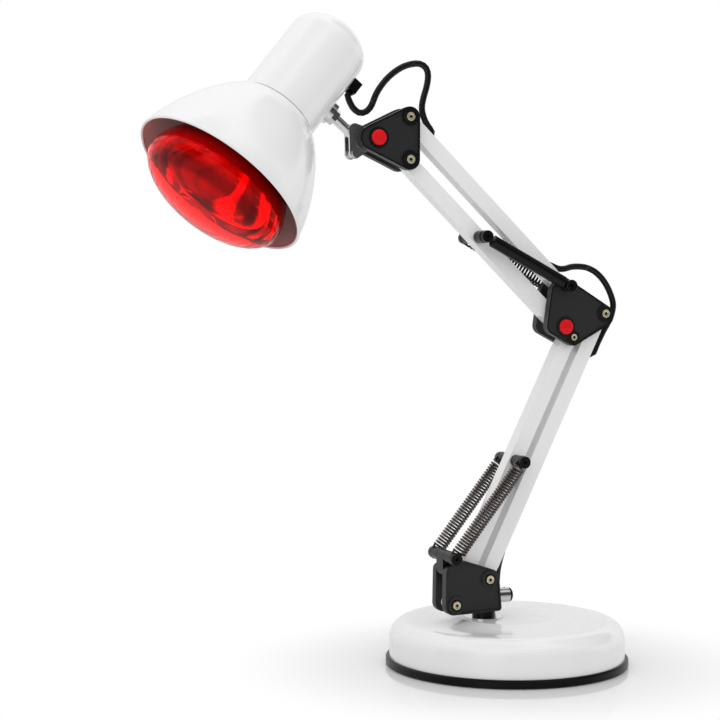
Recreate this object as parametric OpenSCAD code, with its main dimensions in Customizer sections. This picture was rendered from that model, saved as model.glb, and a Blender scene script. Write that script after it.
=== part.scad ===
/* [Base] */
// Diameter of the white base shell at its wall
base_d = 204; // [190:1:216]
// Height of the shell's ridge above the table
base_h = 38.6; // [37:0.2:42]
// Wall of the shell
base_wall = 2; // [1.5:0.1:2.5]
// How far the edge ring stands out past the shell
ring_lip = 3; // [2:0.5:5]
// Height of the edge ring
ring_h = 7.2; // [6:0.2:9]
// Radius of the raised hub in the middle of the dish
hub_r = 42; // [41:0.5:46]
// Height of the hub above the table
hub_z = 41.2; // [40:0.2:42.5]
// Depth of the dish between hub and ridge
dish_dip = 2.4; // [1:0.2:4]
// Height of the iron ballast disc
ballast_h = 17; // [12:1:20]

/* [Swivel] */
// Distance of the swivel post left of the base's middle
post_off = 22; // [21:0.5:24]
// Diameter of the swivel post
post_d = 12; // [10:0.5:13]
// Thickness of the washer under the foot
post_washer_t = 1.2; // [1:0.1:1.6]
// Diameter of the washer under the foot
post_washer_d = 33; // [28:1:36]
// Diameter of the black foot collar
foot_d = 20; // [18:0.5:22]
// Diameter of the chrome lock barrel
lock_d = 13; // [11:0.5:14]
// Length of the lock barrel outside the bracket
lock_len = 14; // [12:0.5:18]

/* [Arms] */
// Lean of the lower arm from the table
lower_lean = 64; // [62:0.5:68]
// Lower arm length between pivots
lower_len = 253; // [235:1:270]
// Lean of the upper arm from the table
upper_lean = 136.1; // [133:0.1:140]
// Upper arm length between pivots
upper_len = 202.9; // [190:0.5:215]
// Height of the lower arm's left pivot above the table
pivot_h = 55.6; // [55:0.2:57]
// Sideways step between the lower arm's two pivots
pivot_dx = 31.25; // [30:0.25:33]
// Height step between the lower arm's two pivots
pivot_dz = 20.4; // [18:0.2:22]
// Height step between the upper arm's two pivots
upper_gap = 35.5; // [34:0.5:38]
// Width of each channel bar
bar_w = 13; // [12:0.5:13.5]
// Wall of each channel bar
bar_wall = 1; // [0.8:0.1:1.4]
// Clearance between a bar and the bracket plates
side_gap = 0.3; // [0.2:0.05:0.5]

/* [Brackets] */
// Thickness of each moulded plate
plate_t = 7.2; // [6:0.2:8]
// Width of the raised rim around each plate
rim_w = 1.4; // [1:0.1:2]
// Depth of the recess inside the rim
recess_t = 1; // [0.6:0.1:1.6]
// Radius of the ring bosses around the bolts
boss_r = 7.6; // [7:0.1:8]
// Diameter of the pivot bolts
bolt_d = 5; // [4:0.25:6]
// Running clearance of a bolt in a bar
bolt_fit = 0.05; // [0.02:0.01:0.08]
// Radius of the red snap caps
cap_r = 6.6; // [6:0.1:7]

/* [Springs] */
// Outer diameter of the balance springs
spring_d = 10; // [9:0.5:10.5]
// Wire of the balance springs
wire_d = 1.3; // [1.1:0.1:1.5]
// Turns of each lower spring
lower_turns = 24; // [18:1:26]
// Turns of the bare upper spring
upper_turns = 22; // [16:1:24]
// Radius of the bushes that hold the spring ends
bush_r = 5.2; // [4.8:0.1:5.6]
// Distance of each spring from the arm's middle plane
spring_y = 19.4; // [19.2:0.1:20.5]

/* [Head] */
// Radius of the shade's mouth
mouth_r = 76.2; // [73:0.2:80]
// Depth of the shade below the housing's seam
bell_h = 80; // [76:0.5:84]
// Radius of the cylindrical housing
housing_r = 34.2; // [33.4:0.1:36]
// Length of the housing's straight part
housing_h = 74.1; // [70:0.1:80]
// Height of the housing's domed end
dome_h = 22.4; // [20:0.2:25]
// Wall of the housing
housing_wall = 1.5; // [1.2:0.1:1.8]
// Wall of the spun shade
bell_wall = 1.3; // [1:0.1:1.6]
// Radius of the bulb
bulb_r = 62.5; // [60:0.5:63.5]
// Diameter of the chrome rod
rod_d = 8.5; // [8:0.1:9]
// Angle of the rod below level
rod_angle = 40.6; // [36:0.2:45]
// Turn of the head about its rod
head_turn = 9; // [0:0.5:15]

/* [Cord] */
// Diameter of the mains cord
cord_d = 5.5; // [5:0.1:5.8]

/* [Hidden] */
$fn = 64;

// pivots, as [x, z] in the arm's plane
L1 = [-post_off - 31.85, pivot_h];
step_l = [pivot_dx, pivot_dz];
L2 = L1 + step_l;
dir_l = [cos(lower_lean), sin(lower_lean)];
E1 = L1 + lower_len * dir_l;
E2 = E1 + step_l;
step_u = [0, upper_gap];
U1 = E1 + [-7.55, 9];
U2 = U1 + step_u;
dir_u = [cos(upper_lean), sin(upper_lean)];
H1 = U1 + upper_len * dir_u;
H2 = H1 + step_u;
TP = H1 + [-28.3, 17.4];
AP = L1 + [-4.65, 41];
LP = L1 + 134.5 * dir_l;
UP = U1 + 111 * dir_u;
bar_y = bar_w / 2;
in_y = bar_y + side_gap;
out_y = in_y + plate_t;
bolt_r = bolt_d / 2;
lug_r = min(5.5, norm(U1 - E1) / 2 - 0.3);
post_r = post_d / 2;
pin_y = spring_y + 5.6;
base_r = base_d / 2;
ridge_r = base_r - 15;
shell_z = 3;
foot_z = hub_z + post_washer_t;
block_z = L1[1] - 8.6;
block_top = L2[1] - 12;
lock_z = L2[1] - 16.5;
lock_x = L2[0] + 9.2;
// head: the rod's line meets the head's axis here
HP = TP + [-65.8, 42.9];
seam = -33;
mouth = seam - bell_h;
dome_s = seam + housing_h;
rod_dir = [cos(rod_angle), -sin(rod_angle)];
washer_x = housing_r + 3.3;
nut_t = 5;
eye_t = 59.6;
eye = HP + eye_t * rod_dir + [2.1, 2.3];
cord_r = cord_d / 2;
run_off = -(bar_y - bar_wall - cord_r - 0.25);

// ---- helpers ----
// a flat outline in the arm's plane, from y0 to y1
module slab(y0, y1) translate([0, y1, 0]) rotate([90, 0, 0]) linear_extrude(y1 - y0) children();
module rod_y(p, r, y0, y1, n = 48) translate([p[0], y1, p[1]]) rotate([90, 0, 0]) cylinder(r = r,
    h = y1 - y0, $fn = n);
function unit(v) = v / norm(v);
// the four tangent points of the belt round two discs [x, z, r], right side
function belt2(a, b) = let (d = [b[0] - a[0], b[1] - a[1]], w = atan2(d[1],
    d[0]) - acos((a[2] - b[2]) / norm(d)))
  [[a[0] + a[2] * cos(w), a[1] + a[2] * sin(w)], [b[0] + b[2] * cos(w), b[1] + b[2] * sin(w)]];
// belt round discs listed counter-clockwise; g shrinks it
module belt(c, g = 0) {
  k = [for (p = c) [p[0], p[1], p[2] - g]];
  n = len(k);
  polygon([for (i = [0:n - 1]) each belt2(k[i], k[(i + 1) % n])]);
  for (p = k) translate([p[0], p[1]]) circle(r = p[2]);
}
function disc(p, r, dx = 0, dz = 0) = [p[0] + dx, p[1] + dz, r];

// swept tube along 3-D points
// direction at point i; e gives the two end directions where they are set
function tng(p, i, e = []) = i == 0 && len(e) == 2 ? e[0] : i == len(p) - 1 && len(e) == 2 ? e[1]
  : unit(p[min(i + 1, len(p) - 1)] - p[max(i - 1, 0)]);
function square_to(u, t) = unit(u - (u * t) * t);
function ringset(p, u0, e) = [for (i = 0, u = square_to(u0, tng(p, 0, e)); i < len(p);
  i = i + 1, u = square_to(u, tng(p, min(i, len(p) - 1), e))) u];
module tube(p, r, sides, u0 = [0, 1, 0.01], e = []) {
  us = ringset(p, u0, e);
  n = len(p);
  v = [for (i = [0:n - 1], j = [0:sides - 1]) let (t = tng(p, i, e), a = us[i], b = cross(t, a),
      w = 360 * j / sides)
    p[i] + r * (cos(w) * a + sin(w) * b)];
  f = [for (i = [0:n - 2], j = [0:sides - 1]) let (a = i * sides + j, b = i * sides + (j + 1) % sides)
    each [[a, b, a + sides], [b, b + sides, a + sides]]];
  polyhedron(v, concat(f, [[for (j = [sides - 1:-1:0]) j]], [[for (j = [0:sides - 1]) (n - 1) * sides + j]]));
}
// least gap of a path to itself, past a skip of m points
function self_gap(p, m, d) = min([for (i = [0:len(p) - 1 - m]) min([for (j = [i + m:len(p) - 1])
    norm(p[i] - p[j])])]) - d;
// smooth path through hand-set points: k steps a span
function cat1(a, b, c, d, t) = 0.5 * (2 * b + (c - a) * t + (2 * a - 5 * b + 4 * c - d) * t * t
    + (3 * b - a - 3 * c + d) * t * t * t);
function smooth(q, k) = let (n = len(q)) concat([for (i = [0:n - 2], s = [0:k - 1])
  cat1(i == 0 ? 2 * q[0] - q[1] : q[i - 1], q[i], q[i + 1], i + 2 > n - 1 ? 2 * q[n - 1] - q[n - 2] : q[i
      + 2], s / k)], [q[n - 1]]);

// ---- base ----
function arc_pts(cx, cz, rx, rz, a0, a1, n) = [for (i = [0:n]) let (a = a0 + (a1 - a0) * i / n) [cx
    + rx * cos(a), cz + rz * sin(a)]];
function dish(r) = let (f = (r - hub_r) / (ridge_r - hub_r))
  hub_z + (base_h - hub_z) * f - dish_dip * sin(180 * f);
module base_ring() color("#161616") rotate_extrude($fn = 120) polygon([
  [base_r - 12, 0], [base_r + ring_lip - 1, 0], [base_r + ring_lip, 1], [base_r + ring_lip, ring_h - 1.2],
  [base_r + ring_lip - 1.2, ring_h], [base_r, ring_h], [base_r, shell_z], [base_r - 12, shell_z]]);
module base_shell() color("white") {
  out = concat([[base_r, shell_z]], arc_pts(ridge_r, 22, 15, base_h - 22, 0, 90, 10),
    [for (i = [1:9]) let (r = ridge_r - (ridge_r - hub_r) * i / 10) [r, dish(r)]], [[hub_r, hub_z]]);
  ins = concat([[hub_r, hub_z - base_wall]],
    [for (i = [9:-1:0]) let (r = ridge_r - (ridge_r - hub_r) * i / 10) [r, dish(r) - base_wall]],
    arc_pts(ridge_r, 22, 15 - base_wall, base_h - 22 - base_wall, 82, 0, 9), [[base_r - base_wall, shell_z]]);
  difference() {
    union() {
      rotate_extrude($fn = 120) polygon(concat(out, ins));
      translate([0, 0, hub_z - base_wall]) cylinder(r = hub_r, h = base_wall, $fn = 120);
    }
    translate([-post_off, 0, 0]) cylinder(r = post_r, h = 60);
  }
}
// iron disc that keeps the lamp standing, with a boss up to the shell
module base_ballast() color("#55585c") difference() {
  union() {
    translate([0, 0, shell_z]) cylinder(r = base_r - base_wall - 4, h = ballast_h, $fn = 96);
    translate([-post_off, 0, shell_z]) cylinder(r = post_r + 5, h = hub_z - base_wall - shell_z);
  }
  translate([-post_off, 0, 0]) cylinder(r = post_r, h = 60);
}
module base_plate() color("#26282a") cylinder(r = base_r - 12.2, h = shell_z, $fn = 96);

// ---- swivel and bottom bracket ----
module swivel_post() color("silver") translate([-post_off, 0, shell_z]) cylinder(r = post_r,
    h = block_top + 0.5 - shell_z);
module post_washer() color("silver") translate([-post_off, 0, hub_z]) difference() {
  cylinder(d = post_washer_d, h = post_washer_t);
  translate([0, 0, -1]) cylinder(r = post_r + bolt_fit, h = 9);
}
module swivel_foot() color("#1b1b1c") translate([-post_off, 0, foot_z]) difference() {
  cylinder(d = foot_d, h = block_z - foot_z);
  translate([0, 0, -1]) cylinder(r = post_r + bolt_fit, h = 30);
}
module swivel_block() color("#1b1b1c") difference() {
  translate([-post_off - 9, -in_y, block_z]) cube([18, 2 * in_y, block_top - block_z]);
  translate([-post_off, 0, 0]) cylinder(r = post_r + bolt_fit, h = block_top + 1);
  translate([-post_off, 0, lock_z]) rotate([0, 90, 0]) cylinder(r = 3, h = 30);
}
// lock screw: chrome barrel with a cross hole, turning in the bracket's mouth
module lock_barrel() color("#c9ccd0") difference() {
  union() {
    translate([lock_x + 0.4, 0, lock_z]) rotate([0, 90, 0]) cylinder(d = lock_d, h = lock_len);
    translate([-post_off + post_r + 0.4, 0, lock_z]) rotate([0, 90, 0]) cylinder(r = 3 - bolt_fit,
    h = lock_x - (-post_off + post_r));
  }
  translate([lock_x + lock_len - 3.4, 0, 0]) cylinder(r = 1.5, h = 90);
}
module lock_cap() color("#161616") translate([lock_x + lock_len + 0.4, 0, lock_z]) rotate([0, 90, 0])
  rotate_extrude($fn = 48) polygon(concat([[0, 0], [lock_d / 2 - 0.4, 0]], arc_pts(0, 1.2,
      lock_d / 2 - 0.4, 2.8, 0, 90, 8)));

// moulded plate: c = discs of its outline, b = ring bosses [p, outer r, inner r], h = bores [p, r]
module moulded(c, b, h) {
  difference() {
    slab(-out_y, -in_y) belt(c);
    difference() {
      slab(-out_y - 1, -out_y + recess_t) belt(c, rim_w);
      for (q = b) rod_y(q[0], q[1], -out_y - 2, 0);
    }
    for (q = b) rod_y(q[0], q[2], -out_y - 1, -out_y + 1.6);
    for (q = h) rod_y(q[0], q[1], -out_y - 1, 0);
  }
}
module rear() mirror([0, 1, 0]) children();
bottom_c = [disc(L1, 8, -2.5, -0.4), disc(L2, 3, 8.1, -24.5), disc(L2, 9, 0, 0),
  disc(AP, 5.5, 10.9, -8.6), disc(AP, 5, -0.3, -12.6)];
bottom_b = [[L1, boss_r, boss_r - 2.4], [L2, boss_r, boss_r - 2.4]];
bottom_h = [[L1, bolt_r], [L2, bolt_r]];
module bottom_plate() moulded(bottom_c, bottom_b, bottom_h);
module bottom_plate_front() color("#1b1b1c") bottom_plate();
module bottom_plate_rear() color("#1b1b1c") rear() bottom_plate();
// bolt through both plates, with a socket head in front and a nut behind
module bolt(p) {
  difference() {
    union() {
      rod_y(p, bolt_r, -out_y + 1.6, out_y - 1.6);
      rod_y(p, bolt_r + 1, -out_y - 0.6, -out_y + 1.6);
    }
    rod_y(p, 1.4, -out_y - 1, -out_y + 0.6, 6);
  }
  rod_y(p, bolt_r + 1.7, out_y - 1.6, out_y + 1, 6);
}
module bottom_bolts() color("#b9a98a") { bolt(L1); bolt(L2); }
// lug that stands up between the plates and carries the springs' pin
module anchor_lug() color("#1b1b1c") difference() {
  slab(-in_y, in_y) belt([disc(AP, 4, -1, -13), disc(AP, bush_r)]);
  rod_y(AP, bolt_r, -in_y - 1, in_y + 1);
}
// pin with a bush and a cap at each end
module bushed_pin(p, inner, y1) {
  rod_y(p, bolt_r, -y1, y1);
  for (s = [-1, 1]) {
    a = s < 0 ? -y1 : inner;
    b = s < 0 ? -inner : y1;
    rod_y(p, bush_r, a, b);
  }
}
module anchor_pin() color("#1b1b1c") bushed_pin(AP, in_y, pin_y);

// ---- bars ----
// channel from p along d, open on side k (1 left of d, -1 right)
module bar(p, d, len, k, holes) {
  a = atan2(d[1], d[0]);
  difference() {
    translate([p[0], 0, p[1]]) rotate([0, -a, 0]) difference() {
      slab(-bar_y, bar_y) {
        polygon([[0, -lug_r], [14, -bar_y], [len - 14, -bar_y], [len, -lug_r], [len, lug_r], [len - 14,
        bar_y], [14, bar_y], [0, lug_r]]);
        circle(r = lug_r);
        translate([len, 0]) circle(r = lug_r);
      }
      slab(-bar_y + bar_wall, bar_y - bar_wall) scale([1, k])
        translate([-20, -bar_y + bar_wall]) square([len + 40, bar_w + 10]);
    }
    for (q = holes) rod_y(q, bolt_r + bolt_fit, -30, 30);
  }
}
module lower_bar_right() color("white") bar(L2, dir_l, lower_len, -1, [L2, E2]);
module lower_bar_left() color("white") bar(L1, dir_l, lower_len, -1, [L1, LP, E1]);
module upper_bar_right() color("white") bar(U2, dir_u, upper_len, -1, [U2, H2]);
module upper_bar_left() color("white") bar(U1, dir_u, upper_len, -1, [U1, UP, H1]);
module lower_posts() color("#1b1b1c") bushed_pin(LP, bar_y, pin_y);
module upper_posts() color("#1b1b1c") bushed_pin(UP, bar_y, pin_y);

// ---- springs ----
// coil between two pins: straight end, widening half turn, n turns, and back
function spring_path(p, q, y, n, c0) = let (d = [q[0] - p[0], q[1] - p[1]], l = norm(d), e = d / l,
    w = spring_d / 2 - wire_d / 2, s0 = bush_r + 0.06 + c0, l1 = l - 2 * s0, lead = 5, m = n * 8)
  concat([for (s = [0, 2, 4]) [p[0] + e[0] * (s0 + s), y, p[1] + e[1] * (s0 + s)]],
    [for (i = [1:m - 1]) let (t = i / 8, f = min(1, 2 * t, 2 * (n - t)), s = s0 + lead
    + (l1 - 2 * lead) * i / m, g = w * f)
      [p[0] + e[0] * s - e[1] * g * cos(360 * t), y + g * sin(360 * t), p[1] + e[1] * s
      + e[0] * g * cos(360 * t)]],
    [for (s = [4, 2, 0]) [q[0] - e[0] * (s0 + s), y, q[1] - e[1] * (s0 + s)]]);
module wire(p) { echo(wire_gap = self_gap(p, 6, wire_d)); tube(p, wire_d / 2, 6, [0.3, 1, 0.2]); }
module lower_spring_front() color("#8d8f93") wire(spring_path(AP, LP, -spring_y, lower_turns, 0));
module lower_spring_rear() color("#8d8f93") wire(spring_path(AP, LP, spring_y, lower_turns, 0));
module upper_spring_rear() color("#8d8f93") wire(spring_path(UP, U2, spring_y, upper_turns, 0));
// the front upper spring runs inside a black sleeve
module upper_spring_front() color("#1b1b1c") {
  d = U2 - UP; l = norm(d);
  translate([UP[0], -spring_y, UP[1]]) rotate([0, 90 - atan2(d[1], d[0]), 0]) translate([0, 0, bush_r + 0.3])
    cylinder(d = spring_d - 0.5, h = l - 2 * bush_r - 0.6, $fn = 32);
}

// ---- elbow ----
elbow_c = [disc(U1, 8, -10.6, 1), disc(E1, 7, -0.2, -0.4), disc(E2, 9, -0.9, -1.9), disc(U2, 7.8, -2.6,
    -0.2), disc(U2, 7.3, -7.1, -5.5)];
module elbow_plate() moulded(elbow_c, [[E2, boss_r, boss_r - 2.4], [E1, 5.8, bolt_r + 1.9], [U1, cap_r + 2,
    cap_r + 0.15]],
  [[E1, bolt_r], [E2, bolt_r], [U1, bolt_r], [U2, bolt_r]]);
module elbow_plate_front() color("#1b1b1c") elbow_plate();
module elbow_plate_rear() color("#1b1b1c") rear() elbow_plate();
module elbow_bolts() color("#b9a98a") { bolt(E2); small_bolt(E1); rod_y(U1, bolt_r, -out_y + 1.6, out_y
    + 0.6); }
module small_bolt(p) { rod_y(p, bolt_r, -out_y - 0.6, out_y - 1.6); rod_y(p, bolt_r + 1.7, out_y - 1.6,
    out_y + 1, 6); }
module snap_cap(p) translate([p[0], -out_y + 1.6, p[1]]) rotate([90, 0, 0])
  rotate_extrude($fn = 48) polygon(concat([[0, 0], [cap_r, 0]], arc_pts(0, 2, cap_r, 2.6, 0, 90, 8)));
module elbow_caps() color("#d3151f") snap_cap(U1);
module spring_pin() color("#1b1b1c") bushed_pin(U2, out_y, pin_y);

// ---- head bracket ----
head_c = [disc(TP, 10.3, -6.1, -0.5), disc(H1, 9.2, -0.7, 0.4), disc(H2, 9, -0.4, -0.6)];
module head_plate() moulded(head_c, [[H1, boss_r, boss_r - 2.4], [H2, boss_r, boss_r - 2.4], [TP, cap_r
    + 2, cap_r + 0.15]], [[H1, bolt_r], [H2, bolt_r], [TP, bolt_r]]);
module head_plate_front() color("#1b1b1c") head_plate();
module head_plate_rear() color("#1b1b1c") rear() head_plate();
module head_bolts() color("#b9a98a") { bolt(H1); bolt(H2); }
module tilt_pin() color("silver") rod_y(TP, bolt_r, -out_y + 1.6, out_y + 0.6);
module tilt_caps() color("#d3151f") snap_cap(TP);

// ---- yoke ----
CS = TP + [-18.2, -12.9];
cheek_c = [disc(TP, 5.5), disc(eye, 5.2), disc(CS, 4.8)];
cheek_t = in_y - side_gap - rod_d / 2 - 0.1;
module yoke_cheeks() color("silver") for (s = [-1, 1]) difference() {
  slab(s < 0 ? -in_y + side_gap : rod_d / 2 + 0.1, s < 0 ? -rod_d / 2 - 0.1 : in_y - side_gap)
    belt([cheek_c[0], cheek_c[1], cheek_c[2]]);
  rod_y(TP, bolt_r + bolt_fit, -20, 20);
  rod_y(eye, 2, -20, 20);
  rod_y(CS, 2, -20, 20);
}
module clamp_screw() color("silver") {
  rod_y(CS, 2, -in_y - 3, in_y + 3);
  rod_y(CS, 4, -in_y - 3, -in_y + side_gap);
  rod_y(CS, 4.2, in_y - side_gap, in_y + 2.6, 6);
  rod_y(CS, 3.4, -rod_d / 2 - 0.1, rod_d / 2 + 0.1);
}
module head_frame(turn = head_turn) translate([HP[0], 0, HP[1]]) rotate([0, rod_angle, 0]) rotate([-turn,
    0, 0]) children();
// rod with a flat eye at the yoke and a lock nut each side of the housing's wall
module head_rod() color("silver") {
  difference() {
    union() {
      head_frame(0) translate([housing_r - housing_wall - 5.5, 0, 0]) rotate([0, 90, 0])
      cylinder(d = rod_d, h = eye_t + 1 - housing_r + housing_wall + 5.5);
      slab(-rod_d / 2, rod_d / 2) translate([eye[0], eye[1]]) circle(r = 5);
    }
    rod_y(eye, 2, -20, 20);
  }
  rod_y(eye, 2, -in_y + side_gap, in_y - side_gap);
  head_frame(0) translate([washer_x + 0.1, 0, 0]) rotate([0, 90, 0]) cylinder(r = 7.4, h = nut_t, $fn = 6);
}
module rod_washer() color("silver") head_frame() difference() {
  translate([housing_r - 2, 0, 0]) rotate([0, 90, 0]) cylinder(r = 9.8, h = washer_x - housing_r + 2);
  translate([0, 0, -20]) cylinder(r = housing_r, h = 40, $fn = 128);
  rotate([0, 90, 0]) cylinder(r = rod_d / 2 + bolt_fit, h = 60);
}

// ---- head ----
function dome_pts(r, h, n) = [for (i = [0:n]) let (a = 90 * i / n) [r * cos(a), dome_s + h * sin(a)]];
module head_housing() color("white") head_frame() difference() {
  rotate_extrude($fn = 128) polygon(concat([[housing_r - housing_wall, seam], [housing_r, seam]],
      dome_pts(housing_r, dome_h, 14),
    [for (i = [14:-1:0]) dome_pts(housing_r - housing_wall, dome_h - housing_wall, 14)[i]]));
  rotate([0, 90, 0]) cylinder(r = rod_d / 2 + bolt_fit, h = 60);
  // vent slots round the dome, and the lead's hole
  for (k = [0:5]) rotate([0, 0, 60 * k + 30]) translate([housing_r * 0.62, -6, dome_s]) cube([3, 12,
      dome_h + 2]);
  rotate([0, 90, 0]) translate([-28 - 4.6, 0, 0]) cylinder(r = 2.9, h = 60);
}
function bez(a, b, c, d, t) = (1 - t) * (1 - t) * (1 - t) * a + 3 * (1 - t) * (1 - t) * t * b
    + 3 * (1 - t) * t * t * c + t * t * t * d;
neck_r = housing_r - housing_wall - 0.05;
function bell_pts(g) = [for (i = [0:16]) bez([mouth_r - g, mouth], [mouth_r - 2.9 - g, mouth + 29.2],
    [neck_r + 14.5 - g, seam - 5.1], [neck_r - g, seam], i / 16)];
module shade_bell() color("white") head_frame() {
  rotate_extrude($fn = 128) union() {
    polygon(concat(bell_pts(0), [[neck_r, seam + 7], [neck_r - bell_wall, seam + 7]], [for (i = [16:-1:0])
    bell_pts(bell_wall)[i]]));
    // rolled lip
    translate([mouth_r - bell_wall / 2, mouth]) circle(r = 1.3, $fn = 24);
  }
}
bulb_s = mouth - 7.4;
bulb_w = 1.2;
cap_s = -1;
function bulb_pts(g) = concat(
  [for (i = [0:10]) let (a = -90 + 9 * i) [(bulb_r - g) * cos(a), bulb_s + (26 - g) * sin(a)]],
  [for (i = [1:12]) bez([bulb_r - g, bulb_s], [bulb_r - g, bulb_s + 24], [19 - g, bulb_s + 62], [18.5 - g,
      cap_s - 24], i / 12)],
  [[17 - g, cap_s - 12], [12.9 - g, cap_s]]);
module bulb_glass() color("#d01818") head_frame() rotate_extrude($fn = 128)
  polygon(concat(bulb_pts(0), [for (i = [len(bulb_pts(0)) - 1:-1:0]) let (q = bulb_pts(bulb_w)[i]) [max(0,
      q[0]), q[1]]]));
module bulb_cap() color("#c9c9c4") head_frame() translate([0, 0, cap_s]) cylinder(r = 13, h = 25);
module lampholder() color("#e8e4dc") head_frame() difference() {
  translate([0, 0, cap_s + 0.4]) cylinder(r = 22.5, h = 37);
  translate([0, 0, cap_s]) cylinder(r = 13.3, h = 25.3);
}
module holder_plate() color("silver") head_frame() translate([0, 0, cap_s + 37.4]) difference() {
  cylinder(r = housing_r - housing_wall, h = 1.5, $fn = 128);
  for (k = [0:3]) rotate([0, 0, 90 * k + 45]) translate([27, 0, -1]) cylinder(r = 2.2, h = 4);
}
module strain_relief() color("#161616") head_frame() difference() {
  translate([housing_r - 2, -5, 27]) cube([10, 10, 11]);
  translate([0, 0, 20]) cylinder(r = housing_r, h = 30, $fn = 128);
}

// ---- cord: routes of round numbers, x y z ----
cord_n = 8;
tq = head_turn;
function head_pt(x, z) = let (y1 = z * sin(tq), z1 = z * cos(tq))
  [HP[0] + x * cos(rod_angle) + z1 * sin(rod_angle), y1, HP[1] - x * sin(rod_angle) + z1 * cos(rod_angle)];
route_ha = [head_pt(housing_r + 4.4, 27), head_pt(housing_r + 4.4, 23.6), [-144.6, 3.4, 480.6], [-141.6, 3,
    475.2],
  [-136.6, 2, 471.4], [-131, 1.4, 472.2], [-126.6, 1, 476.6], [-124.4, 0.8, 481.4]];
route_hb = [[-124.4, 0.8, 481.4], [-121.6, 0.5, 488], [-116, 0, 496.4], [-108.5, 0, 504], [-99, 0, 510.4],
    [-90, 0, 513.6]];
function on_bar(p, d, s, o) = [p[0] + d[0] * s - d[1] * o, 0, p[1] + d[1] * s + d[0] * o];
hc_end = on_bar(H2, -dir_u, 42, -run_off);
route_hc = [[-90, 0, 513.6], [-82, 0, 514], [-76.6, 0, 510.4], [-75, 0, 504], [-76.4, 0, 495], [-79.4, 0,
    485],
  [-80.6, 0, 476], [-77.4, 0, 465.8], [-71, 0, 456.4], hc_end];
el_a = on_bar(U2, dir_u, 26, run_off);
route_ea = [el_a, [36, 0, 347], [42, 0, 345.2], [48.6, 0, 342.6], [54.8, 0, 342.4], [62, 0, 344.2], [70.6,
    0, 344.4], [78, 0, 343.2]];
el_b = on_bar(E2, -dir_l, 42, run_off * -1);
route_eb = [[78, 0, 343.2], [86, 0, 339.4], [93.6, 0, 332.4], [99.6, 0, 323], [103.4, 0, 312.4], [102.4, 0,
    303.6],
  [99, 0, 296], [94, 0, 288], [88.2, 0, 277.4], [82.4, 0, 266.6], el_b];
tl_a = on_bar(L2, dir_l, 40, run_off);
route_ta = [tl_a, [-3.4, 0, 101], [-6.2, 0.4, 91], [-7.4, 2.4, 81.4], [-6.4, 6, 73], [-5, 11, 66], [-4.4,
    15.4, 59]];
route_tb = [[-4.4, 15.4, 59], [-4, 18.4, 53], [-2, 24, 47.6], [2, 33, 45], [7, 44, 43.6], [14, 60, 42.4],
    [20, 74, 42],
  [25.6, 86, 41.4], [30.4, 95.6, 36.4], [34, 102.4, 27], [36, 106.6, 16], [38.6, 110.6, 7], [43, 115.6, 3],
      [50, 121.6, 3.2],
  [57, 126, 6.4], [62, 128, 9]];
sw_x = 62; sw_l = 58; sw_y = 128;
route_fl = [[120, 128, 9], [127, 128.4, 7], [135, 130.6, 3.6], [144, 137, 3], [152, 147, 3], [156.4, 160,
    3], [155.6, 174, 3],
  [149.6, 187, 3], [139.4, 196, 3], [126, 201.4, 3], [110, 202, 3], [80, 202, 3], [50, 202, 3], [25.5, 202,
      3]];
route_pl = [[25.5, 124, 9], [33, 124.1, 8.6], [41, 125.6, 6.8], [49.4, 129.6, 4.4], [56.6, 136, 3.2], [63,
    145, 3],
  [69, 154.6, 3.4], [76, 162, 5.2], [84, 165, 6.85]];
// coil: two layers, in and out again
coil_c = [20, 163]; coil_ro = 39; coil_pitch = 6; coil_turns = 2.5;
function coil_at(t) = let (n = coil_turns, r = t < n ? coil_ro - coil_pitch * t
      : t < n + 0.5 ? coil_ro - coil_pitch * n - 1.5 * sin(360 * (t - n)) : coil_ro - coil_pitch * (2 * n
      + 0.5 - t),
    z = t < n ? 3 : t < n + 0.5 ? 3 + 12 * (t - n) : 9, a = 90 + 360 * t)
  [coil_c[0] + r * cos(a), coil_c[1] + r * sin(a), z];
coil_path = concat([[25.5, coil_c[1] + coil_ro, 3]], [for (i = [0:(2 * coil_turns + 0.5) * 24])
    coil_at(i / 24)],
  [[25.5, coil_c[1] - coil_ro, 9]]);
// a stretch of cord; its ends are cut square to a and b, a hair short of what they meet
module lead(q, k, a, b) let (m = len(q) - 1, p = [for (i = [0:m]) i == 0 ? q[0] + 0.03 * a : i == m
    ? q[m] - 0.03 * b : q[i]])
  tube(smooth(p, k), cord_r, cord_n, e = [a, b]);
function meet(q, r) = unit(r[1] - q[len(q) - 2]);
run_u = unit(el_a - hc_end); run_l = unit(tl_a - el_b);
east = [1, 0, 0]; exit_dir = unit(route_ha[1] - route_ha[0]);
module black() color("#141414") children();
module cord_head_a() black() lead(route_ha, 2, exit_dir, meet(route_ha, route_hb));
module cord_head_b() black() lead(route_hb, 1, meet(route_ha, route_hb), meet(route_hb, route_hc));
module cord_head_c() black() lead(route_hc, 1, meet(route_hb, route_hc), run_u);
module cord_upper_run() black() tube([hc_end, el_a], cord_r, cord_n);
module cord_elbow_a() black() lead(route_ea, 1, run_u, meet(route_ea, route_eb));
module cord_elbow_b() black() lead(route_eb, 1, meet(route_ea, route_eb), run_l);
module cord_lower_run() black() tube([el_b, tl_a], cord_r, cord_n);
module cord_tail() black() lead(route_ta, 1, run_l, meet(route_ta, route_tb));
module cord_floor() black() {
  lead(route_tb, 1, meet(route_ta, route_tb), east);
  lead(route_fl, 1, east, -east);
  lead(route_pl, 1, east, east);
}
module cord_coil() black() { echo(coil_gap = self_gap(coil_path, 12, cord_d)); tube(coil_path, cord_r, 6,
    [0, 0, 1]); }

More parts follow.
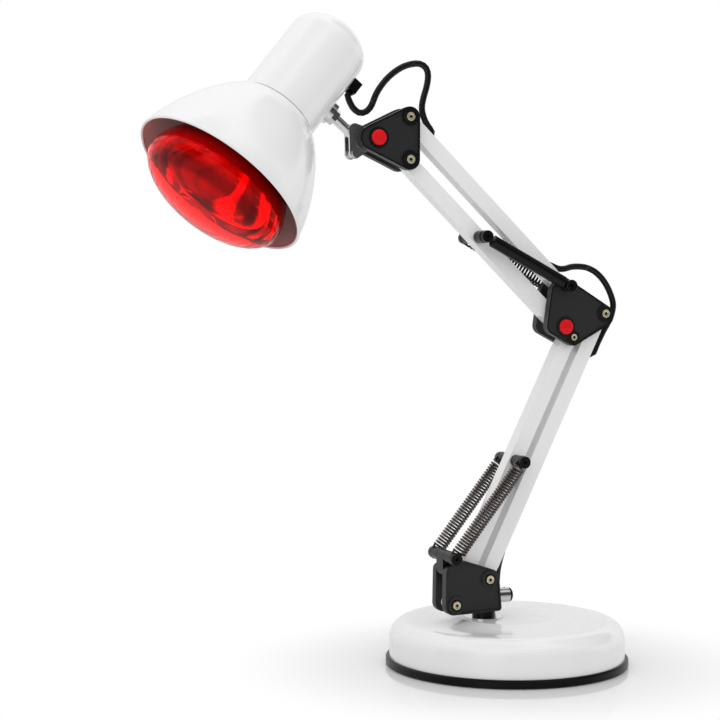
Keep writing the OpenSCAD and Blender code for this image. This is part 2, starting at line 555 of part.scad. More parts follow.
// ---- inline switch and plug ----
module rounded_bar(l, w, h, r) hull() for (x = [r, l - r], y = [-w / 2 + r, w / 2 - r]) translate([x, y,
    0]) cylinder(r = r, h = h, $fn = 32);
module inline_switch() color("#161616") translate([sw_x, sw_y, 0]) difference() {
  rounded_bar(sw_l, 25, 18, 6);
  translate([sw_l / 2 - 9.3, -5.3, 12]) cube([18.6, 10.6, 20]);
}
module switch_rocker() color("#b01218") translate([sw_x + sw_l / 2, sw_y, 16.6]) slab(-5, 5)
  polygon([[-9, 0.9], [-8.6, 2.9], [0, 1.6], [8.6, 2.9], [9, 0.9], [4, -3], [-4, -3]]);
module plug_body() color("#161616") translate([84, 165, 0]) difference() {
  linear_extrude(13.7) polygon([[0, -6], [10, -9], [16, -16], [20, -17.6], [35, -17.6], [35, 17.6], [20,
      17.6], [16, 16], [10, 9], [0, 6]]);
  for (s = [-1, 1]) translate([26, 9.5 * s, 6.85]) rotate([0, 90, 0]) cylinder(r = 2, h = 20);
}
module plug_pins() color("silver") for (s = [-1, 1]) translate([84 + 26, 165 + 9.5 * s, 6.85]) rotate([0,
    90, 0]) cylinder(r = 2, h = 28);

base_ring();
base_shell();
base_ballast();
base_plate();
swivel_post();
post_washer();
swivel_foot();
swivel_block();
lock_barrel();
lock_cap();
bottom_plate_front();
bottom_plate_rear();
bottom_bolts();
anchor_lug();
anchor_pin();
lower_bar_right();
lower_bar_left();
lower_posts();
lower_spring_front();
lower_spring_rear();
elbow_plate_front();
elbow_plate_rear();
elbow_bolts();
elbow_caps();
spring_pin();
upper_bar_right();
upper_bar_left();
upper_posts();
upper_spring_front();
upper_spring_rear();
head_plate_front();
head_plate_rear();
head_bolts();
tilt_pin();
tilt_caps();
yoke_cheeks();
clamp_screw();
head_rod();
rod_washer();
head_housing();
shade_bell();
lampholder();
holder_plate();
bulb_glass();
bulb_cap();
strain_relief();
cord_head_a();
cord_head_b();
cord_head_c();
cord_upper_run();
cord_elbow_a();
cord_elbow_b();
cord_lower_run();
cord_tail();
cord_floor();
cord_coil();
inline_switch();
switch_rocker();
plug_body();
plug_pins();
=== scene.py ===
"""Infrared heat lamp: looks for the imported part. Metres, +Z up, the arm in the XZ plane."""
import math
import bpy
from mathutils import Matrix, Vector

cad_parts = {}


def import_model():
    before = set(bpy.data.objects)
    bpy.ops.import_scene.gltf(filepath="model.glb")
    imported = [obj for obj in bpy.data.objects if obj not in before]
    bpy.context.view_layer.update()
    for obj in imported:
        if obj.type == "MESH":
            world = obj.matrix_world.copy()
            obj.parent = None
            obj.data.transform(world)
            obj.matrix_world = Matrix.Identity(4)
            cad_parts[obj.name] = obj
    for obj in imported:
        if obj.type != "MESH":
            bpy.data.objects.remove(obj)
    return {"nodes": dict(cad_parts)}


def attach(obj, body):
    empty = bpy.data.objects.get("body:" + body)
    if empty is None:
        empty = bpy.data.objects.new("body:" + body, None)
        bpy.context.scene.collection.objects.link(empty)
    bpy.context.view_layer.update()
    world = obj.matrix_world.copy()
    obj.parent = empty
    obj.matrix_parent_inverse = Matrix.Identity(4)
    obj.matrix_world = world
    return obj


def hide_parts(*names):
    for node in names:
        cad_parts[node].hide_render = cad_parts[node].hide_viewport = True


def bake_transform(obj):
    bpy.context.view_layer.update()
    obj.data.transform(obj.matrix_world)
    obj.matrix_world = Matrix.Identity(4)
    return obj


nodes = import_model()["nodes"]
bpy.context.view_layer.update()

# ---- Camera ----
# Placed where the photograph was taken from: low, a little left of the lamp,
# with a long lens, so that the two pairs of bars converge as they do there.
cam = bpy.data.objects.new("camera", bpy.data.cameras.new("camera"))
bpy.context.scene.collection.objects.link(cam)
bpy.context.scene.camera = cam
cam.location = (-0.66287, -1.36124, 0.32206)
yaw, pitch = math.radians(21.138), math.radians(2.226)
aim = Vector((math.sin(yaw) * math.cos(pitch), math.cos(yaw) * math.cos(pitch), -math.sin(pitch)))
cam.rotation_mode = "QUATERNION"
cam.rotation_quaternion = aim.to_track_quat("-Z", "Y")
cam.data.lens, cam.data.sensor_width = 87.32, 36.0
cam.data.clip_start, cam.data.clip_end = 0.05, 50

# ---- Mains cord ----
# Round black PVC lead, 5.5 mm. It leaves the housing, loops to the upper bar, runs in the
# channels, loops round the elbow, and goes down behind the bracket and over the base.
# The spare length is wound in a flat two-layer coil behind the base, with its plug.
CORD = 0.0055


def new_mesh(name, verts, faces, smooth=True):
    """A mesh object from plain lists, shaded smooth unless it is a sheet of flats."""
    m = bpy.data.meshes.new(name)
    m.from_pydata([tuple(v) for v in verts], [], faces)
    m.update()
    for p in m.polygons:
        p.use_smooth = smooth
    o = bpy.data.objects.new(name, m)
    bpy.context.scene.collection.objects.link(o)
    return o


def along(points, step, before=None, after=None):
    """A smooth line through given points, evenly resampled; before and after are the neighbours' points (m)."""
    q = [Vector(p) for p in points]
    q = [Vector(before) if before else 2 * q[0] - q[1]] + q + [Vector(after) if after else 2 * q[-1] - q[-2]]
    line = []
    for i in range(1, len(q) - 2):
        a, b, c, d = q[i - 1:i + 3]
        for k in range(12):
            t = k / 12
            line.append(0.5 * (2 * b + (c - a) * t + (2 * a - 5 * b + 4 * c - d) * t * t
                               + (3 * b - a - 3 * c + d) * t ** 3))
    line.append(q[-2])
    run = [0.0]
    for a, b in zip(line, line[1:]):
        run.append(run[-1] + (b - a).length)
    n = max(4, round(run[-1] / step))
    out, j = [], 0
    for k in range(n + 1):
        s = run[-1] * k / n
        while j < len(run) - 2 and run[j + 1] < s:
            j += 1
        f = (s - run[j]) / max(1e-9, run[j + 1] - run[j])
        out.append(line[j].lerp(line[j + 1], min(1, f)))
    return out


def tube(name, line, radius, sides=16, up=(0, 1, 0.01), taper=None, ends=None):
    """A round tube swept along a line without twist, closed at both ends; ends are its two end directions."""
    n, u = len(line), Vector(up)
    verts = []
    for i, p in enumerate(line):
        t = (line[min(i + 1, n - 1)] - line[max(i - 1, 0)]).normalized()
        if ends and i in (0, n - 1):
            t = ends[i > 0]
        u = (u - t * u.dot(t)).normalized()
        w = t.cross(u)
        r = radius if taper is None else taper(i / (n - 1))
        verts += [p + r * (math.cos(2 * math.pi * k / sides) * u + math.sin(2 * math.pi * k / sides) * w)
                  for k in range(sides)]
    faces = [(i * sides + k, i * sides + (k + 1) % sides, (i + 1) * sides + (k + 1) % sides, (i + 1) * sides + k)
             for i in range(n - 1) for k in range(sides)]
    faces += [tuple(range(sides))[::-1], tuple((n - 1) * sides + k for k in range(sides))]
    o = new_mesh(name, verts, faces)
    for cap in (-1, -2):
        o.data.polygons[cap].use_smooth = False
    return o


def mm(points):
    return [tuple(c / 1000 for c in p) for p in points]


def node_group(name, ins, outs):
    """A shader node group with its sockets; ins and outs are (name, kind, default)."""
    g = bpy.data.node_groups.new(name, "ShaderNodeTree")
    for n, kind, value in ins:
        s = g.interface.new_socket(n, in_out="INPUT", socket_type=kind)
        if value is not None:
            s.default_value = value
    for n, kind in outs:
        g.interface.new_socket(n, in_out="OUTPUT", socket_type=kind)
    return g, g.nodes.new("NodeGroupInput"), g.nodes.new("NodeGroupOutput")


def add(tree, kind, how=None, second=None, **values):
    """A shader node with its settings (how), its second input, and plain socket values by name."""
    n = tree.nodes.new("ShaderNode" + kind)
    for k, v in (how or {}).items():
        setattr(n, k, v)
    if second is not None:
        n.inputs[1].default_value = second
    for k, v in values.items():
        n.inputs[k.replace("_", " ")].default_value = v
    return n


def wires(tree, *rows):
    """Links; each row is a node, its output, another node and its input."""
    for a, out, b, into in rows:
        tree.links.new(a.outputs[out], b.inputs[into])


def maths(name):
    return {"operation": name}


# Grain: fine noise that colours, roughens and dents a surface; every finish uses it.
grain, g_in, g_out = node_group("fine_grain",
    [("Colour", "NodeSocketColor", (1, 1, 1, 1)), ("Shade", "NodeSocketFloat", 0.1), ("Scale", "NodeSocketFloat", 400.0),
     ("Roughness", "NodeSocketFloat", 0.4), ("Spread", "NodeSocketFloat", 0.1)],
    [("Colour", "NodeSocketColor"), ("Roughness", "NodeSocketFloat"), ("Height", "NodeSocketFloat")])
place = add(grain, "TexCoord")
fine = add(grain, "TexNoise", Detail=4)
wide = add(grain, "TexNoise", Scale=14)
tone = add(grain, "Math", maths("SUBTRACT"), 0.5)
amount = add(grain, "Math", maths("MULTIPLY_ADD"))
amount.inputs[2].default_value = 1.0
tinted = add(grain, "VectorMath", maths("SCALE"))
drift = add(grain, "Math", maths("SUBTRACT"), 0.5)
rougher = add(grain, "Math", maths("MULTIPLY_ADD"))
wires(grain, (place, "Object", fine, "Vector"), (g_in, "Scale", fine, "Scale"), (place, "Object", wide, "Vector"),
      (wide, "Fac", tone, 0), (tone, 0, amount, 0), (g_in, "Shade", amount, 1),
      (g_in, "Colour", tinted, 0), (amount, 0, tinted, "Scale"), (tinted, 0, g_out, "Colour"),
      (fine, "Fac", drift, 0), (drift, 0, rougher, 0), (g_in, "Spread", rougher, 1),
      (g_in, "Roughness", rougher, 2), (rougher, 0, g_out, "Roughness"), (fine, "Fac", g_out, "Height"))


def finish_of(name, colour, rough, scale=400, shade=0.1, spread=0.1, dent=0.00002, **fixed):
    """A material on the grain group; fixed holds the shader's own plain values."""
    m = bpy.data.materials.new(name)
    m.use_nodes = True
    t = m.node_tree
    paint = t.nodes["Principled BSDF"]
    g = add(t, "Group", {"node_tree": grain}, Colour=(*colour, 1), Shade=shade, Scale=scale, Roughness=rough,
            Spread=spread)
    bump = add(t, "Bump", Distance=dent, Strength=1.0)
    wires(t, (g, "Colour", paint, "Base Color"), (g, "Roughness", paint, "Roughness"), (g, "Height", bump, "Height"),
          (bump, "Normal", paint, "Normal"))
    for k, v in fixed.items():
        paint.inputs[k.replace("_", " ")].default_value = v
    return m


def parts_of(material):
    """A finish's node tree, its shader and its grain."""
    t = material.node_tree
    return t, t.nodes["Principled BSDF"], next(n for n in t.nodes if n.type == "GROUP")


def dress(material, *names):
    """Gives CAD nodes or new pieces their material."""
    for n in names:
        o = nodes[n] if isinstance(n, str) else n
        o.data.materials.clear()
        o.data.materials.append(material)


cord_pvc = finish_of("cord_pvc", (0.005, 0.005, 0.0055), 0.3, scale=500, shade=0.3, spread=0.12, dent=0.00001,
                     Specular_IOR_Level=0.35)

# pivots of the arm in its plane (mm): lower bracket, elbow, head bracket, tilt pin, then the head's own frame
DEG = math.pi / 180
L1 = Vector((-53.85, 55.6)); STEP = Vector((31.25, 20.4)); L2 = L1 + STEP
LOW = Vector((math.cos(64 * DEG), math.sin(64 * DEG))); E1 = L1 + 253 * LOW; E2 = E1 + STEP
UPP = Vector((math.cos(136.1 * DEG), math.sin(136.1 * DEG)))
U1 = E1 + Vector((-7.55, 9)); U2 = U1 + Vector((0, 35.5))
H1 = U1 + 202.9 * UPP; H2 = H1 + Vector((0, 35.5))
TILT = H1 + Vector((-28.3, 17.4)); HEAD = TILT + Vector((-65.8, 42.9))
ROD, TURN = 40.6 * DEG, 9 * DEG


def on_bar(p, d, s, o):
    """A point s along a bar from p, o to its left, in the arm's plane (mm)."""
    return (p.x + d.x * s - d.y * o, 0, p.y + d.y * s + d.x * o)


def head_pt(x, z, y=0):
    """A point of the head's own frame: z up its axis, x along the rod (mm)."""
    y1, z1 = y * math.cos(TURN) + z * math.sin(TURN), z * math.cos(TURN) - y * math.sin(TURN)
    return (HEAD.x + x * math.cos(ROD) + z1 * math.sin(ROD), y1, HEAD.y - x * math.sin(ROD) + z1 * math.cos(ROD))


RUN = -2.5  # how far the lead lies from a bar's centre line
head_a = [head_pt(38.6, 27), head_pt(38.6, 23.6), (-144.6, 3.4, 480.6), (-141.6, 3, 475.2), (-136.6, 2, 471.4),
          (-131, 1.4, 472.2), (-126.6, 1, 476.6), (-124.4, 0.8, 481.4)]
head_b = [(-124.4, 0.8, 481.4), (-121.6, 0.5, 488), (-116, 0, 496.4), (-108.5, 0, 504), (-99, 0, 510.4), (-90, 0, 513.6)]
head_c = [(-90, 0, 513.6), (-82, 0, 514), (-76.6, 0, 510.4), (-75, 0, 504), (-76.4, 0, 495), (-79.4, 0, 485),
          (-80.6, 0, 476), (-77.4, 0, 465.8), (-71, 0, 456.4), on_bar(H2, -UPP, 42, -RUN)]
elbow_a = [on_bar(U2, UPP, 26, RUN), (36, 0, 347), (42, 0, 345.2), (48.6, 0, 342.6), (54.8, 0, 342.4),
           (62, 0, 344.2), (70.6, 0, 344.4), (78, 0, 343.2)]
elbow_b = [(78, 0, 343.2), (86, 0, 339.4), (93.6, 0, 332.4), (99.6, 0, 323), (103.4, 0, 312.4), (102.4, 0, 303.6),
           (99, 0, 296), (94, 0, 288), (88.2, 0, 277.4), (82.4, 0, 266.6), on_bar(E2, -LOW, 42, -RUN)]
tail = [on_bar(L2, LOW, 40, RUN), (-3.4, 0, 101), (-6.2, 0.4, 91), (-7.4, 2.4, 81.4), (-6.4, 6, 73), (-5, 11, 66),
        (-4.4, 15.4, 59)]
over_base = [(-4.4, 15.4, 59), (-4, 18.4, 53), (-2, 24, 47.6), (2, 33, 45), (7, 44, 43.6), (14, 60, 42.4), (20, 74, 42),
             (25.6, 86, 41.4), (30.4, 95.6, 36.4), (34, 102.4, 27), (36, 106.6, 16), (38.6, 110.6, 7), (43, 115.6, 3),
             (50, 121.6, 3.2), (57, 126, 6.4), (62, 128, 9)]
to_coil = [(120, 128, 9), (127, 128.4, 7), (135, 130.6, 3.6), (144, 137, 3), (152, 147, 3), (156.4, 160, 3), (155.6, 174, 3),
           (149.6, 187, 3), (139.4, 196, 3), (126, 201.4, 3), (110, 202, 3), (80, 202, 3), (50, 202, 3), (25.5, 202, 3)]
to_plug = [(25.5, 124, 9), (33, 124.1, 8.6), (41, 125.6, 6.8), (49.4, 129.6, 4.4), (56.6, 136, 3.2), (63, 145, 3),
           (69, 154.6, 3.4), (76, 162, 5.2), (84, 165, 6.85)]


def coil_at(t):
    """The coil's line: in for 2.5 turns, up a layer in half a turn, and out again."""
    r = 39 - 6 * t if t < 2.5 else 24 - 1.5 * math.sin(2 * math.pi * (t - 2.5)) if t < 3 else 24 + 6 * (t - 3)
    z = 3 if t < 2.5 else 3 + 12 * (t - 2.5) if t < 3 else 9
    a = math.pi / 2 + 2 * math.pi * t
    return (20 + r * math.cos(a), 163 + r * math.sin(a), z)


def lead(name, points, stands_for=(), bodies=None, ride=None, before=None, after=None, smooth=True, **cord):
    pts = mm(points)
    b, a = (mm([before])[0] if before else None), (mm([after])[0] if after else None)
    line = along(pts, 0.0035, b, a) if smooth else [Vector(p) for p in pts]
    first = (Vector(pts[1]) - Vector(b or pts[0])).normalized()
    last = (Vector(a or pts[-1]) - Vector(pts[-2])).normalized()
    o = tube(name, line, CORD / 2, ends=(first, last))
    dress(cord_pvc, o)
    if stands_for:
        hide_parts(*stands_for)
    if bodies:
        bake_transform(o)
    else:
        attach(o, ride)


SWITCH_IN, SWITCH_OUT, PLUG = (70, 128, 9), (112, 128, 9), (92, 165, 6.85)
FREE = {"far_end": "object"}
lead("lead_head_a", head_a, ["cord_head_a"], ("head", "yoke"), after=head_b[1], **FREE)
lead("lead_head_b", head_b, ["cord_head_b"], ("yoke", "head_bracket"), before=head_a[-2], after=head_c[1], **FREE)
lead("lead_head_c", head_c, ["cord_head_c"], ("head_bracket", "upper_right"), before=head_b[-2], after=elbow_a[0], **FREE)
lead("lead_upper_run", [head_c[-1], elbow_a[0]], ["cord_upper_run"], ride="upper_right")
lead("lead_elbow_a", elbow_a, ["cord_elbow_a"], ("upper_right", "elbow"), before=head_c[-1], after=elbow_b[1], **FREE)
lead("lead_elbow_b", elbow_b, ["cord_elbow_b"], ("elbow", "lower_right"), before=elbow_a[-2], after=tail[0], **FREE)
lead("lead_lower_run", [elbow_b[-1], tail[0]], ["cord_lower_run"], ride="lower_right")
lead("lead_tail", tail, ["cord_tail"], ("lower_right", "bottom_bracket"), before=elbow_b[-1], after=over_base[1], **FREE)
lead("lead_over_base", over_base, ["cord_floor"], ("bottom_bracket", "base"), before=tail[-2], after=SWITCH_IN,
     lay="loose", **FREE)
lead("lead_to_coil", to_coil, ride="base", before=SWITCH_OUT, with_pieces=[nodes["inline_switch"], nodes["switch_rocker"]],
     **FREE)
coil_line = [(25.5, 202, 3)] + [coil_at(i / 48) for i in range(265)] + [(25.5, 124, 9)]
lead("lead_coil", coil_line, ["cord_coil"], ride="base", smooth=False, lay="coiled", **FREE)
lead("lead_to_plug", to_plug, ride="base", before=(18, 124, 9), after=PLUG,
     with_pieces=[nodes["plug_body"], nodes["plug_pins"]], far_end="plug")

# ---- Base ----
# A spun steel shell in gloss white over an iron disc. A black rubber edge ring carries it, and a
# felt-faced plate closes it underneath.
white_paint = finish_of("white_paint", (0.885, 0.885, 0.888), 0.16, scale=1100, shade=0.015, spread=0.05,
                        dent=0.000006, Coat_Weight=0.5, Coat_Roughness=0.04, Specular_IOR_Level=0.5)
edge_rubber = finish_of("edge_rubber", (0.004, 0.004, 0.0045), 0.3, scale=700, shade=0.3, spread=0.12, dent=0.00001,
                        Specular_IOR_Level=0.14)
iron = finish_of("ballast_iron", (0.09, 0.09, 0.095), 0.6, scale=300, shade=0.3, spread=0.3, dent=0.0002, Metallic=1.0)
felt = finish_of("base_felt", (0.03, 0.03, 0.032), 0.9, scale=1500, shade=0.4, spread=0.1, dent=0.0002)
dress(white_paint, "base_shell")
dress(edge_rubber, "base_ring")
dress(iron, "base_ballast")
dress(felt, "base_plate")

# ---- Swivel and lock screw ----
# A chromed steel post turns in a black collar. A chrome barrel with a black cap screws against it
# to hold it where it is turned.
chrome = finish_of("chrome", (0.74, 0.74, 0.76), 0.2, scale=500, shade=0.06, spread=0.06, dent=0.000004, Metallic=1.0)
black_moulded = finish_of("black_moulded", (0.004, 0.004, 0.0045), 0.24, scale=900, shade=0.3, spread=0.08,
                          dent=0.000004, Specular_IOR_Level=0.22)
dress(chrome, "swivel_post", "post_washer", "lock_barrel")
dress(black_moulded, "swivel_foot", "swivel_block", "lock_cap")

# ---- Bracket plates ----
# Two glass-filled nylon mouldings at each joint, with a raised rim and ring bosses. Rims and
# bosses are polished by the mould, and the sunk face between them is matt.
SUNK_FACE, SOCKET_SHADE_DEPTH = 0.0134, 0.01511


def soften(width, *names):
    """A small rounded edge on a CAD node."""
    for n in names:
        b = nodes[n].modifiers.new("edge", "BEVEL")
        b.width, b.segments, b.limit_method, b.angle_limit = width, 2, "ANGLE", 0.6
        b.harden_normals = False


recess_mask, m_in, m_out = node_group("recess_mask", [("Depth", "NodeSocketFloat", None)], [("Mask", "NodeSocketFloat")])
place = add(recess_mask, "TexCoord")
split = add(recess_mask, "SeparateXYZ")
size = add(recess_mask, "Math", maths("ABSOLUTE"))
less = add(recess_mask, "Math", maths("LESS_THAN"))
wires(recess_mask, (place, "Object", split, 0), (split, "Y", size, 0), (size, 0, less, 0), (m_in, "Depth", less, 1),
      (less, 0, m_out, "Mask"))


def two_coats(material, mask, out, colour, rough):
    """Where the mask is 1, a finish takes another colour and roughness."""
    t, paint, g = parts_of(material)
    matt = add(t, "Mix", B=rough)
    tone = add(t, "Mix", {"data_type": "RGBA"}, B=(*colour, 1))
    wires(t, (mask, out, matt, "Factor"), (mask, out, tone, "Factor"), (g, "Roughness", matt, "A"),
          (g, "Colour", tone, "A"), (matt, "Result", paint, "Roughness"), (tone, "Result", paint, "Base Color"))


def recessed(source, name, depth, colour, rough):
    """A copy of a finish whose faces nearer the arm's middle than depth (m) take another colour: a matt coat on the
    plates, painted shade in the screw sockets.
    """
    m = source.copy()
    m.name = name
    two_coats(m, add(m.node_tree, "Group", {"node_tree": recess_mask}, Depth=depth), "Mask", colour, rough)
    return m


plates = [joint + "_plate_" + side for joint in ("bottom", "elbow", "head") for side in ("front", "rear")]
dress(black_moulded, "anchor_lug")
plate_black = recessed(black_moulded, "plate_black", SUNK_FACE, (0.009, 0.009, 0.0095), 0.55)
parts_of(plate_black)[1].inputs["Specular IOR Level"].default_value = 0.7
dress(plate_black, *plates)
soften(0.0007, *plates, "lock_cap")

# ---- Pivot screws ----
# Nickel-plated steel socket screws with a warm, brassy cast: a turned head with a rounded
# rim and a hex socket, sunk in the plate's ring boss; a plain nut at the back.
screw_metal = finish_of("screw_nickel", (1.0, 0.88, 0.64), 0.45, scale=600, shade=0.25, spread=0.15, dent=0.00001,
                        Metallic=1.0)
# Painted shade: the hex hole and the sunk side of each head are coloured near black, for the shade in them.
socket_shade = recessed(screw_metal, "screw_socket_painted_shade", SOCKET_SHADE_DEPTH, (0.03, 0.024, 0.018), 0.5)
dress(screw_metal, "bottom_bolts", "elbow_bolts", "head_bolts")
soften(0.0003, "bottom_bolts", "elbow_bolts", "head_bolts")


def turned(name, at, rings, sharp):
    """A turned piece about an axis across the arm at a pivot; each ring is a list of (radius, y) in mm."""
    seg = len(rings[0])
    verts = [((at.x + r * math.cos(2 * math.pi * k / seg)) / 1000, y / 1000,
              (at.y + r * math.sin(2 * math.pi * k / seg)) / 1000) for ring in rings for k, (r, y) in enumerate(ring)]
    faces = [(i * seg + k, (i + 1) * seg + k, (i + 1) * seg + (k + 1) % seg, i * seg + (k + 1) % seg)
             for i in range(len(rings) - 1) for k in range(seg)]
    o = new_mesh(name, verts, faces)
    o.data.set_sharp_from_angle(angle=sharp)
    return o


def screw_head(name, at, radius, body, face=-15.4, seg=48):
    """A socket head over the plain CAD one: rounded rim, shallow dish and a six-sided hole. The hole and the head's
    sunk side are painted dark as shade.
    """
    rim = [(radius, 2.1), (radius, 0.35), (radius - 0.12, 0.12), (radius - 0.4, 0), (radius - 0.75, 0.04), (1.75, 0.16)]
    hexagon = [1.42 / math.cos(((360 * k / seg) % 60 - 30) * DEG) * 0.9 for k in range(seg)]
    rings = [[(r, face + y)] * seg for r, y in rim]
    rings += [[(h + grow, face + y) for h in hexagon] for grow, y in ((0.1, 0.2), (0, 0.3), (0, 0.5))]
    o = turned(name, at, rings + [[(0.01, face + 0.5)] * seg], 0.7)
    dress(socket_shade, o)
    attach(o, body)


for k, (at, body) in enumerate([(L1, "bottom_bracket"), (L2, "bottom_bracket"), (E2, "elbow"), (E1, "elbow"),
                                (H1, "head_bracket"), (H2, "head_bracket")]):
    screw_head("screw_head_%d" % k, at, 2.9 if at is E1 else 3.62, body)

# ---- Arm bars ----
# Folded steel channels in the same gloss white. The right bar of each pair is open towards its
# back, where the lead lies in it.
bars = ["lower_bar_right", "lower_bar_left", "upper_bar_right", "upper_bar_left"]
dress(white_paint, *bars)
soften(0.0006, *bars)

# ---- Spring pins ----
# Turned black bushes on each pin: a body, a groove that takes the spring's hook, and an end
# cap with a small centre hole.
ANCHOR, LPOST, UPOST = L1 + Vector((-4.65, 41)), L1 + 134.5 * LOW, U1 + 111 * UPP
SPRING_Y, HOOK = 20.1, 4.7


def bushes(name, at, inner, node, body, seg=40):
    """A pin across the arm with a turned bush at each end, in place of the plain CAD one."""
    half = [(5.0, inner), (5.3, inner + 0.3), (5.3, SPRING_Y - 1.5), (5.0, SPRING_Y - 1.2), (3.95, SPRING_Y - 1.0),
            (3.95, SPRING_Y + 1.0), (4.9, SPRING_Y + 1.2), (5.3, SPRING_Y + 1.6), (5.3, 24.4), (5.15, 25.1),
            (4.6, 25.5), (3.2, 25.5), (3.0, 25.3), (1.5, 25.3), (1.2, 24.9), (1.2, 23), (0, 23)]
    waist = [(2.5, -inner), (2.5, inner)] if inner > 7 else []
    line = [(r, -y) for r, y in half[::-1]] + waist + half
    o = turned(name, at, [[p] * seg for p in line], 0.6)
    dress(black_moulded, o)
    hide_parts(node)
    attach(o, body)


bushes("turned_anchor_pin", ANCHOR, 6.9, "anchor_pin", "bottom_bracket")
bushes("turned_lower_posts", LPOST, 6.6, "lower_posts", "lower_left")
bushes("turned_upper_posts", UPOST, 6.6, "upper_posts", "upper_left")
bushes("turned_elbow_pin", U2, 14.1, "spring_pin", "elbow")

# ---- Balance springs ----
# Spring wire in dull nickel, 1.9 mm thick, wound 12.4 mm wide, with a hook at each end round the
# bush's groove. The front upper spring is hidden in a black sleeve.
WIRE, COIL_WIDE, SLEEVE = 1.9, 12.4, 0.0053
spring_wire = finish_of("spring_wire", (0.12, 0.1, 0.088), 0.14, scale=900, shade=0.4, spread=0.2, dent=0.00001,
                        Metallic=1.0)
dark_wire = finish_of("spring_wire_dark", (0.025, 0.024, 0.023), 0.26, scale=900, shade=0.4, spread=0.2, dent=0.00001,
                      Metallic=1.0)


def spring_line(p, q, y, turns):
    """Centre line of a spring from hook to hook: round the bush at p, the coil, round the bush at q."""
    d = (q - p).normalized()
    n = Vector((-d.y, d.x))
    w, r = (COIL_WIDE - WIRE) / 2, HOOK + 0.1
    pts = []
    for k in range(13):
        a = math.radians(240 - 20 * k)
        c = p + n * (r * math.cos(a)) - d * (r * math.sin(a))
        pts.append((c.x, y, c.y))
    start = r + 1.4
    length = (q - p).length - 2 * start
    for i in range(turns * 20 + 1):
        t = i / 20
        c = p + d * (start + length * i / (turns * 20)) + n * (w * math.cos(2 * math.pi * t))
        pts.append((c.x, y + w * math.sin(2 * math.pi * t), c.y))
    for k in range(13):
        a = math.radians(20 * k)
        c = q + n * (r * math.cos(a)) + d * (r * math.sin(a))
        pts.append((c.x, y, c.y))
    return [Vector(v) for v in mm(pts)]


def beside(p, y):
    """A pivot's place (m) at a distance y (mm) beside the arm's middle."""
    return (p.x / 1000, y / 1000, p.y / 1000)


def spring(name, p, q, y, turns, node, material):
    """A wound spring between two pins."""
    o = tube(name, spring_line(p, q, y, turns), WIRE / 2000, sides=8, up=(0.3, 1, 0.2))
    dress(material, o)
    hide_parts(node)
    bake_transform(o)


for tag, y in (("front", -SPRING_Y), ("rear", SPRING_Y)):
    spring("coil_lower_" + tag, ANCHOR, LPOST, y, 34, "lower_spring_" + tag, spring_wire)
spring("coil_upper_rear", U2, UPOST, SPRING_Y, 25, "upper_spring_rear", dark_wire)


def sleeve_radius(f):
    """Ribbed a little by the coil inside, and drawn in at both ends."""
    return SLEEVE * (1 + 0.01 * math.sin(f * 2 * math.pi * 26)) * (0.86 if f in (0.0, 1.0) else 1.0)


sleeve_top, sleeve_foot = Vector(beside(UPOST, -19.4)), Vector(beside(U2, -19.4))
sleeve_way = (sleeve_foot - sleeve_top).normalized()
sleeve_top, sleeve_foot = sleeve_top + sleeve_way * 0.0075, sleeve_foot - sleeve_way * 0.0058
sleeve = tube("spring_sleeve", [sleeve_top.lerp(sleeve_foot, k / 120) for k in range(121)], SLEEVE, sides=32,
              taper=sleeve_radius)
dress(black_moulded, sleeve)
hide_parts("upper_spring_front")
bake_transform(sleeve)

# ---- Red caps ----
# Domed snap caps in glossy red over the ends of the elbow's pin and of the tilt pin, which is
# chromed. The rocker of the inline switch is moulded in the same red.
red_cap = finish_of("red_cap", (0.7, 0.005, 0.009), 0.2, scale=60, shade=0.06, spread=0.03, dent=0.000001,
                    Specular_IOR_Level=0.2, Coat_Weight=0.05, Coat_Roughness=0.05)
dress(red_cap, "elbow_caps", "tilt_caps", "switch_rocker")
dress(chrome, "tilt_pin")

# ---- Yoke and rod ----
# Chromed sheet cheeks clamp the rod's eye, and a screw and nut set how firmly the head tilts. The
# rod goes through a washer into the housing.
dress(chrome, "yoke_cheeks", "clamp_screw", "head_rod", "rod_washer")
soften(0.0003, "yoke_cheeks", "clamp_screw", "head_rod")

# ---- Shade and housing ----
# Spun aluminium, painted gloss white outside. Inside, the shade has a satin finish whose
# colour is painted pink: painted red light that the bulb throws on it.
HEAD_AXIS = Vector(head_pt(0, 1)) - Vector(head_pt(0, 0))


def at_head(x, z, y=0):
    return Vector([c / 1000 for c in head_pt(x, z, y)])


def off_axis(t, origin):
    """The part of each point's place that stands off the head's axis; it turns with the head."""
    place = add(t, "TexCoord")
    rel = add(t, "VectorMath", maths("SUBTRACT"), origin)
    down = add(t, "VectorMath", maths("PROJECT"), HEAD_AXIS)
    out = add(t, "VectorMath", maths("SUBTRACT"))
    wires(t, (place, "Object", rel, 0), (rel, 0, down, 0), (rel, 0, out, 0), (down, 0, out, 1))
    return place, out


bell_paint_red_bounce = white_paint.copy()
bell_paint_red_bounce.name = "bell_paint_red_bounce"
t = bell_paint_red_bounce.node_tree
place, out = off_axis(t, at_head(0, 0))
outward = add(t, "VectorMath", maths("DOT_PRODUCT"))
inside = add(t, "Math", maths("LESS_THAN"), 0.0)
wires(t, (out, 0, outward, 0), (place, "Normal", outward, 1), (outward, "Value", inside, 0))
# Painted light: the inside faces are coloured pink for the bulb's red light falling on them.
two_coats(bell_paint_red_bounce, inside, 0, (0.8, 0.56, 0.54), 0.4)
dress(white_paint, "head_housing")
soften(0.0003, "head_housing")
dress(bell_paint_red_bounce, "shade_bell")

